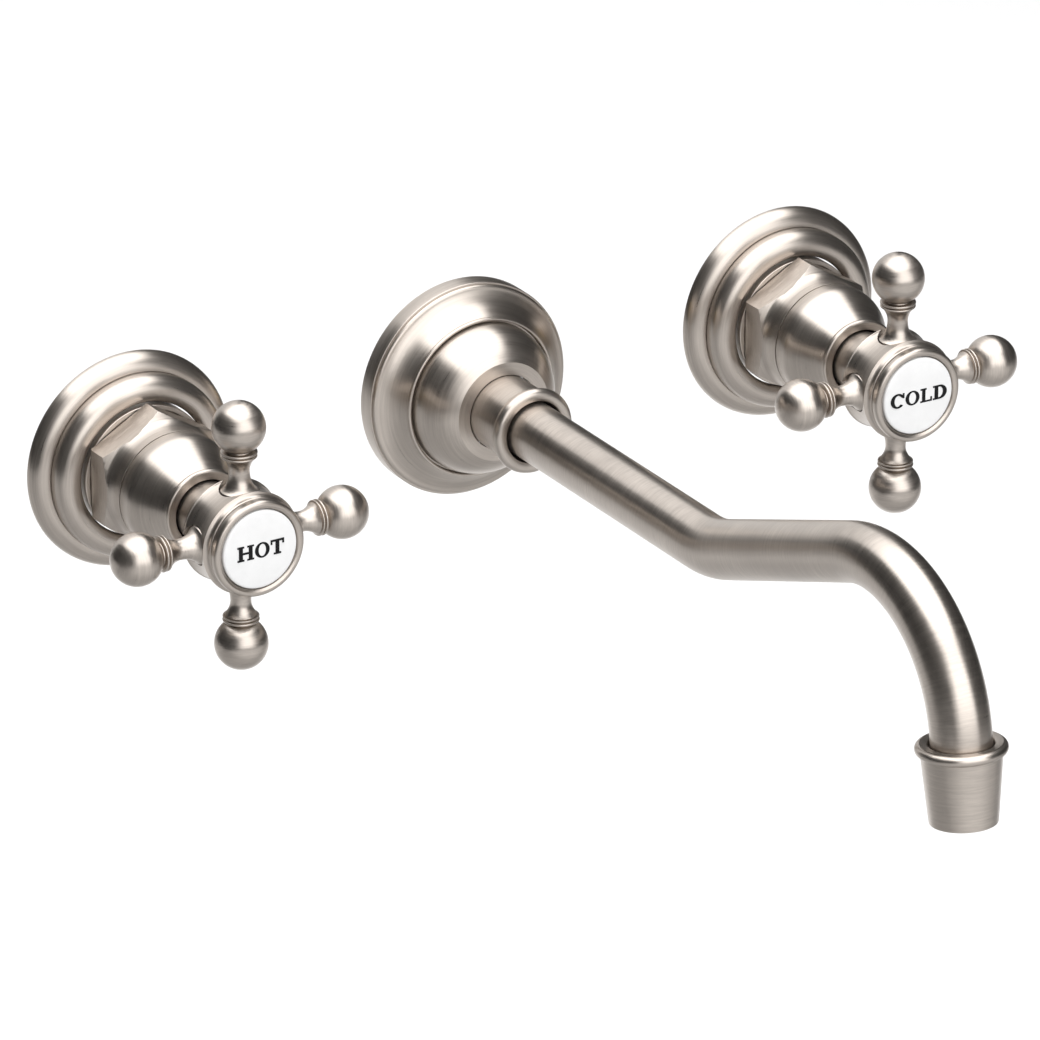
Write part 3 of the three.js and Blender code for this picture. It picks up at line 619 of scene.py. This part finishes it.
for word, axis_x, height, length, stretch, body in (
    ("HOT", hot_x, 4.2, 13.8, 1.04, "hot_handle"),
    ("COLD", cold_x, 4.05, 17.8, 1.1, "cold_handle"),
):
    widths = [2 * outlines[letter][0] * height * stretch for letter in word]
    gap = (length - sum(widths)) / (len(word) - 1)
    left = -length / 2
    made = []
    for letter, width in zip(word, widths):
        for loop in outlines[letter][1]:
            bpy.ops.mesh.primitive_circle_add(vertices=len(loop), radius=mm)
            for vertex, (x, z) in zip(bpy.context.object.data.vertices, loop):
                across = left + width / 2 + x * height * stretch
                vertex.co = (across * mm, -ink_back * mm, z * height * mm)
            made.append(bpy.context.object)
        left += width + gap
    bpy.ops.object.select_all(action="DESELECT")
    for loop in made:
        loop.select_set(True)
    bpy.context.view_layer.objects.active = made[0]
    bpy.ops.object.join()
    lettering = bpy.context.object
    lettering.name = "lettering_" + word.lower()
    bpy.ops.object.mode_set(mode="EDIT")
    bpy.ops.mesh.select_all(action="SELECT")
    bpy.ops.mesh.fill(use_beauty=True)
    bpy.ops.mesh.select_all(action="SELECT")
    bpy.ops.mesh.extrude_region_move(TRANSFORM_OT_translate={"value": (0, -ink_depth * mm, 0)})
    bpy.ops.mesh.select_all(action="SELECT")
    bpy.ops.mesh.normals_make_consistent(inside=False)
    bpy.ops.object.mode_set(mode="OBJECT")
    placed(lettering, (axis_x, 0, 0))
    dress(lettering, enamel)
    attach(lettering, body)


# ---------------------------------------------------------------- spout flange
# The wall cover of the spout: a stepped rim, a hollow sweep up to a lip, and a dome with a
# flat ring round the collar. Spun from brass sheet like the others, and held by friction.
spout_flange = turned(
    "spout_flange_cover",
    [
        (30.3, 0, 0.3),
        (30.3, 5.25, 0.2),
        (29.6, 5.25),
        (29.6, 5.5),
        *bow((29.75, 5.75), (29.6, 6.3), (28.9, 6.4), 6),
        *bow((28.7, 6.42), (24.9, 7.4), (22.75, 12.0), 14),
        *arc((22.25, 12.4), 0.5, 0, 165, 12),
        (21.65, 11.3),
        (21.3, 11.3),
        (21.25, 12.6),
        *bow((21.2, 12.8), (20.5, 20.2), (14.0, 24.3), 18),
        (13.75, 24.3),
        (10.5, 24.55, 0.15),
        (10.5, 22.5),
        (13, 22.4, 1),
        (18.4, 18.5, 3),
        (19.4, 12.2, 1),
        (21, 10.4, 1),
        (25, 3.9, 1),
        (28.1, 3.6, 1),
        (28.1, 0, 0.3),
    ],
)
placed(spout_flange)
spout_nickel = brushed_nickel("brushed_nickel_spout")
dress(spout_flange, spout_nickel)
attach(spout_flange, "root")
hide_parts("spout_flange")


# ---------------------------------------------------------------- spout collar
# The sleeve that the spout comes out of, with a bead round its mouth and a hole below for a
# grub screw. Turned from brass and plated, it is threaded on the adapter behind the flange.
screw_out, screw_hole = 31, 2.3  # from the wall to the grub screw, and its hole's radius
collar = turned(
    "collar",
    [
        (8.7, 6.8, 0.2),
        (10.35, 6.8, 0.3),
        (10.35, 36.9),
        *bow((10.4, 37.1), (11.4, 37.2), (11.85, 38.9), 10)[1:],
        *arc((10.35, 39.45), 1.6, -15, 85, 10),
        (9.6, 41.05),
        (8.75, 40.75, 0.15),
    ],
)
bpy.ops.mesh.primitive_cylinder_add(
    vertices=48,
    radius=screw_hole * mm,
    depth=6 * mm,
    location=(0, -screw_out * mm, -10.5 * mm),
)
cut_or_join(collar)
placed(collar)
dress(collar, spout_nickel)
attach(collar, "root")
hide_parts("spout_collar")


# ---------------------------------------------------------------- spout tube
# The gooseneck: drawn brass tube, bent twice and plated, straight out of the collar, up at a
# slope, and over into the outlet cup. It is drawn by carrying a ring along its centre line.
tube_radius, tube_wall = 7.94, 1.04
tube_start = 12.5  # from the wall to the tube's open end, inside the collar
first_corner, second_run, last_run = 132.3, 68.5, 0.9
rise, rise_bend = 20, 37  # degrees up, and the bend's radius
drop, drop_bend = 105, 38.8
in_cup = 5  # how far the tube goes on into the cup
bpy.ops.mesh.primitive_circle_add(
    vertices=64,
    radius=tube_radius * mm,
    location=(0, -tube_start * mm, 0),
    rotation=(math.radians(90), 0, 0),
)
tube = bpy.context.object
tube.name = "spout_pipe"
bpy.ops.object.transform_apply(location=True, rotation=True, scale=True)
bpy.ops.object.mode_set(mode="EDIT")
bpy.ops.mesh.select_all(action="SELECT")
run = {"heading": 0.0, "middle": Vector((0, -tube_start * mm, 0)), "length": 0.0}


def note_ring():
    """Writes on the selected ring where it lies: round the tube, and how far along it."""
    mesh = bmesh.from_edit_mesh(tube.data)
    layer = mesh.verts.layers.float_vector.get("lay") or mesh.verts.layers.float_vector.new("lay")
    around = mesh.verts.layers.float_vector.get("lap") or mesh.verts.layers.float_vector.new("lap")
    up = Vector((0, math.sin(run["heading"]), math.cos(run["heading"])))
    ahead = Vector((0, -math.cos(run["heading"]), math.sin(run["heading"])))
    for vertex in mesh.verts:
        if vertex.select:
            off = (vertex.co - run["middle"]) / (tube_radius * mm)
            vertex[layer] = (off.x, off.dot(up), run["length"])
            vertex[around] = ahead.cross(off)
    bmesh.update_edit_mesh(tube.data)


def run_straight(length, steps):
    """Draws the tube straight on, in millimetres."""
    step = length * mm / steps
    ahead = Vector((0, -math.cos(run["heading"]), math.sin(run["heading"]))) * step
    for _ in range(steps):
        bpy.ops.mesh.extrude_region_move(TRANSFORM_OT_translate={"value": ahead})
        run["middle"] += ahead
        run["length"] += step
        note_ring()


def run_round(radius, degrees, steps):
    """Bends the tube up, or down where the angle is negative, about the bend's centre."""
    way = math.copysign(1, degrees)
    up = Vector((0, math.sin(run["heading"]), math.cos(run["heading"])))
    centre = run["middle"] + up * radius * mm * way
    turn = math.radians(degrees / steps)
    for _ in range(steps):
        bpy.ops.mesh.extrude_region_move(TRANSFORM_OT_translate={"value": (0, 0, 0)})
        bpy.ops.transform.rotate(value=turn, orient_axis="X", center_override=centre)
        run["heading"] += turn
        up = Vector((0, math.sin(run["heading"]), math.cos(run["heading"])))
        run["middle"] = centre - up * radius * mm * way
        run["length"] += abs(turn) * radius * mm
        note_ring()


note_ring()
lead = rise_bend * math.tan(math.radians(rise / 2))  # from the bend's start to its corner
run_straight(first_corner - tube_start - lead, 6)
run_round(rise_bend, rise, 10)
run_straight(second_run - lead, 4)
run_round(drop_bend, -drop, 40)
run_straight(last_run, 1)
cup_middle = run["middle"].copy()
run_straight(in_cup, 1)
bpy.ops.object.mode_set(mode="OBJECT")
wall = tube.modifiers.new("wall", "SOLIDIFY")
wall.thickness = tube_wall * mm
wall.offset = -1
bpy.ops.object.modifier_apply(modifier="wall")
bpy.ops.object.shade_smooth_by_angle(angle=math.radians(30))
placed(tube)
tube_nickel, tube_shader = new_finish("brushed_nickel_tube", nickel_colour, 1, 0.3)
tube_shader.inputs["Anisotropic"].default_value = nickel_sheen
tube_shader.inputs["Anisotropic Rotation"].default_value = sheen_lie
lay = add_node(tube_nickel, "Attribute", attribute_name="lay").outputs["Vector"]
grain = add_node(
    tube_nickel,
    "VectorMath",
    {0: lay, 1: (brush_along, 0, brush_across)},
    operation="MULTIPLY",
).outputs["Vector"]
round_it = add_node(tube_nickel, "SeparateXYZ", {"Vector": lay}).outputs["Y"]
lap_at = add_node(tube_nickel, "Attribute", attribute_name="lap").outputs["Vector"]
lap = add_node(
    tube_nickel,
    "VectorTransform",
    {"Vector": lap_at},
    vector_type="VECTOR",
    convert_from="OBJECT",
    convert_to="WORLD",
).outputs["Vector"]
brush(tube_nickel, tube_shader, grain, round_it, lap)
dress(tube, tube_nickel)
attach(tube, "root")
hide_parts("spout_tube")


# ---------------------------------------------------------------- outlet cup
# The tapered cup on the end of the tube, with a bead round its top. Turned from brass and
# plated, and soldered on the tube. It holds the aerator.
cup_tilt = drop - rise  # it hangs 5 degrees short of plumb
cup = turned(
    "cup",
    [
        (8.3, -0.6),
        (8.6, -1.3, 0.2),
        (10.6, -1.5),
        *arc((10.55, 0), 1.35, -90, 80, 12),
        (10.5, 1.5),
        (8.85, 19.7, 0.15),
        (7.7, 19.7, 0.15),
        (7.7, 6.5),
        (6.2, 6.5),
        (6.2, 5.35),
        (8.3, 5.35),
    ],
    sides=96,
)
placed(cup, cup_middle, turn=cup_tilt, axis="X")
dress(cup, brushed_nickel("brushed_nickel_cup", cup_middle, (math.radians(cup_tilt), 0, 0)))
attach(cup, "root")
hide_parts("outlet_cup")


# ---------------------------------------------------------------- wall gaskets
# A foam rubber ring inside the back of each wall flange, pressed against the wall to keep
# water out. Cut from sheet, with a slightly open skin.
gasket_hole, gasket_rim, gasket_front = 22.6, 27.6, 2.2
wall_gap = 0.02  # just clear of the wall
rubber, rubber_shader = new_finish("gasket_rubber", (0.02, 0.02, 0.02), 0, 0.8)
rubber_tones = ((0.012, 0.012, 0.012), (0.035, 0.034, 0.033))
aged(rubber, rubber_shader, rubber_tones, (0.7, 0.92), 1400, 0.05)
for node, axis_x in (
    ("hot_flange_gasket", hot_x),
    ("cold_flange_gasket", cold_x),
    ("spout_flange_gasket", 0),
):
    gasket = turned(
        node.replace("flange_", "wall_"),
        [
            (gasket_hole, wall_gap, 0.3),
            (gasket_rim, wall_gap, 0.3),
            (gasket_rim, gasket_front, 0.5),
            (gasket_hole, gasket_front, 0.5),
        ],
    )
    placed(gasket, (axis_x, 0, 0))
    dress(gasket, rubber)
    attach(gasket, "root")
    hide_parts(node)


# ---------------------------------------------------------------- valve bodies
# The brass shank of each valve, threaded where it goes through the wall, with a stub to the
# side for the pipe to the spout. Cast and machined, and left unplated.
shank_root, shank_radius, shank_turns = 12.5, 13.05, 14
chamber = 9.4  # the bore that the cartridge sits in
inlet = 5
pipe_end = 20  # how far the pipe ends stand behind the wall
stub_radius, stub_start, stub_end = 6.5, 10.5, 19
outlet_radius, outlet_end = 4, 21
outlet_in = 8  # how far behind the wall the stub leaves
brass, brass_shader = new_finish("machined_brass", (0.56, 0.42, 0.2), 1, 0.35)
aged(brass, brass_shader, ((0.46, 0.34, 0.16), (0.6, 0.46, 0.22)), (0.26, 0.46), 1100, 0.01)


def thread(root, crest, turns, pitch=1.3, start=-19.2, first_crest=-18.55):
    """The section of a thread, drawn as rings from root to crest and back, turn by turn."""
    points = []
    for turn in range(turns):
        points += [(root, start + pitch * turn), (crest, first_crest + pitch * turn)]
    return points


for valve, axis_x, way in (("hot", hot_x, 1), ("cold", cold_x, -1)):
    shank = turned(
        f"valve_shank_{valve}",
        [
            (inlet, -pipe_end, 0.3),
            *thread(shank_root, shank_radius, shank_turns),
            (shank_root, -1.0),
            (shank_root, 0.5),
            (shank_radius, 0.9),
            (shank_radius, 24, 0.4),
            (chamber, 24, 0.3),
            (chamber, -16),
            (inlet, -16),
        ],
    )
    for radius, first, last, act in (
        (stub_radius, stub_start, stub_end, "UNION"),
        (outlet_radius, 0, outlet_end, "DIFFERENCE"),
    ):
        bpy.ops.mesh.primitive_cylinder_add(
            vertices=64,
            radius=radius * mm,
            depth=(last - first) * mm,
            location=(way * (first + last) / 2 * mm, outlet_in * mm, 0),
            rotation=(0, math.radians(90), 0),
        )
        cut_or_join(shank, act)
    bpy.ops.object.select_all(action="DESELECT")
    shank.select_set(True)
    bpy.context.view_layer.objects.active = shank
    bpy.ops.object.shade_smooth_by_angle(angle=crease)
    placed(shank, (axis_x, 0, 0))
    dress(shank, brass)
    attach(shank, "root")
    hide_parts(f"{valve}_valve_body")


# ---------------------------------------------------------------- spout nipple and adapter
# The threaded pipe nipple that stands out of the wall, and the brass adapter screwed on it,
# which carries the collar and the tube. Both are turned from brass bar.
nipple_bore, nipple_root, nipple_radius, nipple_turns = 7.5, 10.1, 10.55, 17
nipple_front = 3.7
nipple = turned(
    "spout_pipe_nipple",
    [
        (nipple_bore, -pipe_end, 0.3),
        *thread(nipple_root, nipple_radius, nipple_turns),
        (nipple_root, nipple_front),
        (nipple_bore, nipple_front, 0.3),
    ],
)
placed(nipple)
dress(nipple, brass)
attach(nipple, "root")
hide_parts("spout_nipple")
adapter = turned(
    "spout_brass_adapter",
    [
        (11.05, -6, 0.3),
        (14.0, -6, 0.5),
        (14.0, 6, 0.5),
        (8.3, 6, 0.1),
        (8.3, 12.1, 0.3),
        (6.35, 12.1),
        (6.35, 22),
        (5.35, 22, 0.1),
        (5.35, 24.4, 0.1),
        (6.35, 24.4),
        (6.35, 28, 0.3),
        (4.5, 28, 0.3),
        (4.5, 4.1),
        (11.05, 4.1),
    ],
)
placed(adapter)
dress(adapter, brass)
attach(adapter, "root")
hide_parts("spout_adapter")


# ---------------------------------------------------------------- collar grub screw
# A small stainless grub screw up through the underside of the collar, with a hexagon socket.
# It stops the tube from turning or pulling out.
steel, steel_shader = new_finish("bright_steel", (0.6, 0.6, 0.6), 1, 0.3)
aged(steel, steel_shader, ((0.5, 0.5, 0.51), (0.64, 0.64, 0.64)), (0.22, 0.38), 900, 0.006)
grub_radius, grub_point, grub_head = 2.0, 8.3, 10.3
socket_radius, socket_floor, socket_end = 1, 9.4, 12.4
grub = turned(
    "collar_grub_screw",
    [
        (0, grub_point),
        (1.2, grub_point),
        (grub_radius, 9.0),
        (grub_radius, grub_head, 0.15),
        (0, grub_head),
    ],
    sides=48,
)
bpy.ops.mesh.primitive_cylinder_add(
    vertices=6,
    radius=socket_radius * mm,
    depth=(socket_end - socket_floor) * mm,
    location=(0, -(socket_floor + socket_end) / 2 * mm, 0),
    rotation=(math.radians(90), 0, 0),
)
cut_or_join(grub)
placed(grub, (0, -screw_out * mm, 0), turn=90, axis="X")
dress(grub, steel)
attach(grub, "root")
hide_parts("collar_set_screw")


# ---------------------------------------------------------------- aerator
# The insert in the cup's mouth: a black moulded housing with a lip, and a stainless screen
# pierced with rings of holes. It goes up into the cup from below, against a rubber washer.
screen_radius, screen_back, screen_front = 6.1, 16.9, 17.7
hole_radius = 0.62
plastic, plastic_shader = new_finish("moulded_plastic", (0.05, 0.05, 0.055), 0, 0.5)
plastic_tones = ((0.035, 0.035, 0.038), (0.065, 0.065, 0.07))
aged(plastic, plastic_shader, plastic_tones, (0.42, 0.62), 1500, 0.01)
housing = turned(
    "aerator_cage",
    [
        (6.6, 8.4, 0.2),
        (7.3, 8.4, 0.2),
        (7.3, 19.2, 0.3),
        (5.4, 19.2, 0.3),
        (5.4, 18.0),
        (6.6, 18.0),
    ],
    sides=96,
)
screen = turned(
    "aerator_mesh",
    [
        (0, screen_back),
        (screen_radius, screen_back, 0.1),
        (screen_radius, screen_front, 0.1),
        (0, screen_front),
    ],
    sides=96,
)
holes = [(0, 0)]
for ring_radius, count in ((2.1, 6), (4.1, 12)):
    for step in range(count):
        angle = 2 * math.pi * step / count
        holes.append((ring_radius * math.cos(angle), ring_radius * math.sin(angle)))
for x, z in holes:
    bpy.ops.mesh.primitive_cylinder_add(
        vertices=20,
        radius=hole_radius * mm,
        depth=4 * mm,
        rotation=(math.radians(90), 0, 0),
        location=(x * mm, -(screen_back + screen_front) / 2 * mm, z * mm),
    )
    cut_or_join(screen)
for piece, finish, node, slot in (
    (housing, plastic, "aerator_housing", "dark_plastic"),
    (screen, steel, "aerator_screen", "stainless_steel"),
):
    placed(piece, cup_middle, turn=cup_tilt, axis="X")
    dress(piece, finish)
    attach(piece, "root")
    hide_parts(node)


# ---------------------------------------------------------------- valve works
# The pieces that nobody sees inside the trim keep their plain shapes: brass cartridges,
# stems and nuts, ceramic discs, rubber seals, plastic bushings, steel screws, and in the
# spout two rubber rings, the aerator's washer and its plastic flow restrictor.
ceramic, ceramic_shader = new_finish("polished_ceramic", (0.8, 0.77, 0.7), 0, 0.3)
aged(ceramic, ceramic_shader, ((0.72, 0.69, 0.62), (0.82, 0.8, 0.74)), (0.2, 0.36), 700, 0.004)
for finish, parts in (
    (brass, ("cartridge_body", "cartridge_nut", "stem")),
    (ceramic, ("fixed_disc", "turning_disc")),
    (rubber, ("seat_seal", "cartridge_o_ring")),
    (plastic, ("bonnet_bushing",)),
    (steel, ("handle_screw",)),
):
    for part in parts:
        for valve in ("hot", "cold"):
            dress(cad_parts[f"{valve}_{part}"], finish)
for part in ("spout_flange_ring", "spout_o_ring", "aerator_washer"):
    dress(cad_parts[part], rubber)
dress(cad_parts["flow_restrictor"], plastic)


# ---------------------------------------------------------------- studio
# A paper floor below the object with painted light and shade on it, two black cards to the
# sides for the dark streaks in the plating, and two large soft lights in an even white room.
bpy.ops.object.camera_add(
    location=(-1.1943, -2.0394, 0.9758), rotation=(math.radians(66.729), 0, math.radians(-30.762))
)
camera = bpy.context.object
camera.data.lens = 327.42
camera.data.sensor_width = 36
camera.data.clip_end = 100
bpy.context.scene.camera = camera

floor_level = -0.6
bpy.ops.mesh.primitive_plane_add(size=16, location=(0, 0, floor_level))
floor = bpy.context.object
floor.name = "studio_floor"
paper, paper_shader = new_finish("studio_paper_painted_light", (0.36, 0.36, 0.36), 0, 0.6)
# Painted light: the paper is near white in a patch about (0.7, 1.2) where the camera sees the
# floor beyond the object. Painted shade: elsewhere it is darker, darkest in a band along y = 0
# under the object.
paper_place = add_node(paper, "TexCoord").outputs["Object"]
lit_patch_distance = add_node(
    paper, "VectorMath", {0: paper_place, 1: (0.7, 1.2, 0)}, operation="DISTANCE"
).outputs["Value"]
paper_out = add_node(paper, "SeparateXYZ", {"Vector": paper_place}).outputs["Y"]
paper_off = add_node(paper, "Math", {0: paper_out}, operation="ABSOLUTE").outputs["Value"]
painted_shade_tone = add_node(
    paper,
    "MapRange",
    {"Value": paper_off, "From Min": 0.3, "From Max": 0.9, "To Min": 0.37, "To Max": 0.62},
    interpolation_type="SMOOTHSTEP",
).outputs["Result"]
painted_light_and_shade = add_node(
    paper,
    "MapRange",
    {"Value": lit_patch_distance, "From Min": 0.8, "From Max": 1.3, "To Min": 0.9, "To Max": painted_shade_tone},
    interpolation_type="SMOOTHSTEP",
).outputs["Result"]
paper.node_tree.links.new(painted_light_and_shade, paper_shader.inputs["Base Color"])
dress(floor, paper)

black_cloth, _ = new_finish("studio_black_cloth", (0.03, 0.03, 0.03), 0, 0.9)
card_top = 3.45
for side, card_x, front, back in (("left", -2.5, -2.75, 6.875), ("right", 2.5, -3.5, 4.375)):
    bpy.ops.mesh.primitive_plane_add(size=2)
    card = bpy.context.object
    card.name = "studio_card_" + side
    corners = (
        (front, floor_level),
        (back, floor_level),
        (front, card_top),
        (back, card_top),
    )
    for vertex, (y, z) in zip(card.data.vertices, corners):
        vertex.co = (card_x, y, z)
    card.visible_camera = False
    dress(card, black_cloth)

world = bpy.data.worlds.new("studio")
bpy.context.scene.world = world
world.use_nodes = True
world.node_tree.nodes["Background"].inputs["Color"].default_value = (0.88, 0.88, 0.88, 1)


def soft_light(name, place, facing, wide, tall, glow):
    """A rectangular soft light whose face has an even glow, turned to face a point."""
    turn = (Vector(facing) - Vector(place)).to_track_quat("-Z", "Y").to_euler()
    bpy.ops.object.light_add(type="AREA", location=place, rotation=turn)
    light = bpy.context.object
    light.name = name
    light.data.shape = "RECTANGLE"
    light.data.size = wide
    light.data.size_y = tall
    light.data.energy = glow * math.pi * wide * tall
    light.visible_camera = False


soft_light("studio_front", (0, -3.4, 2.15), (0, 0, 2.15), 4.0, 4.2, 1.6)
soft_light("studio_top", (0, 0, 3.0), (0, 0, 0), 4.6, 4.6, 2.2)
bpy.context.scene.view_settings.view_transform = "Standard"
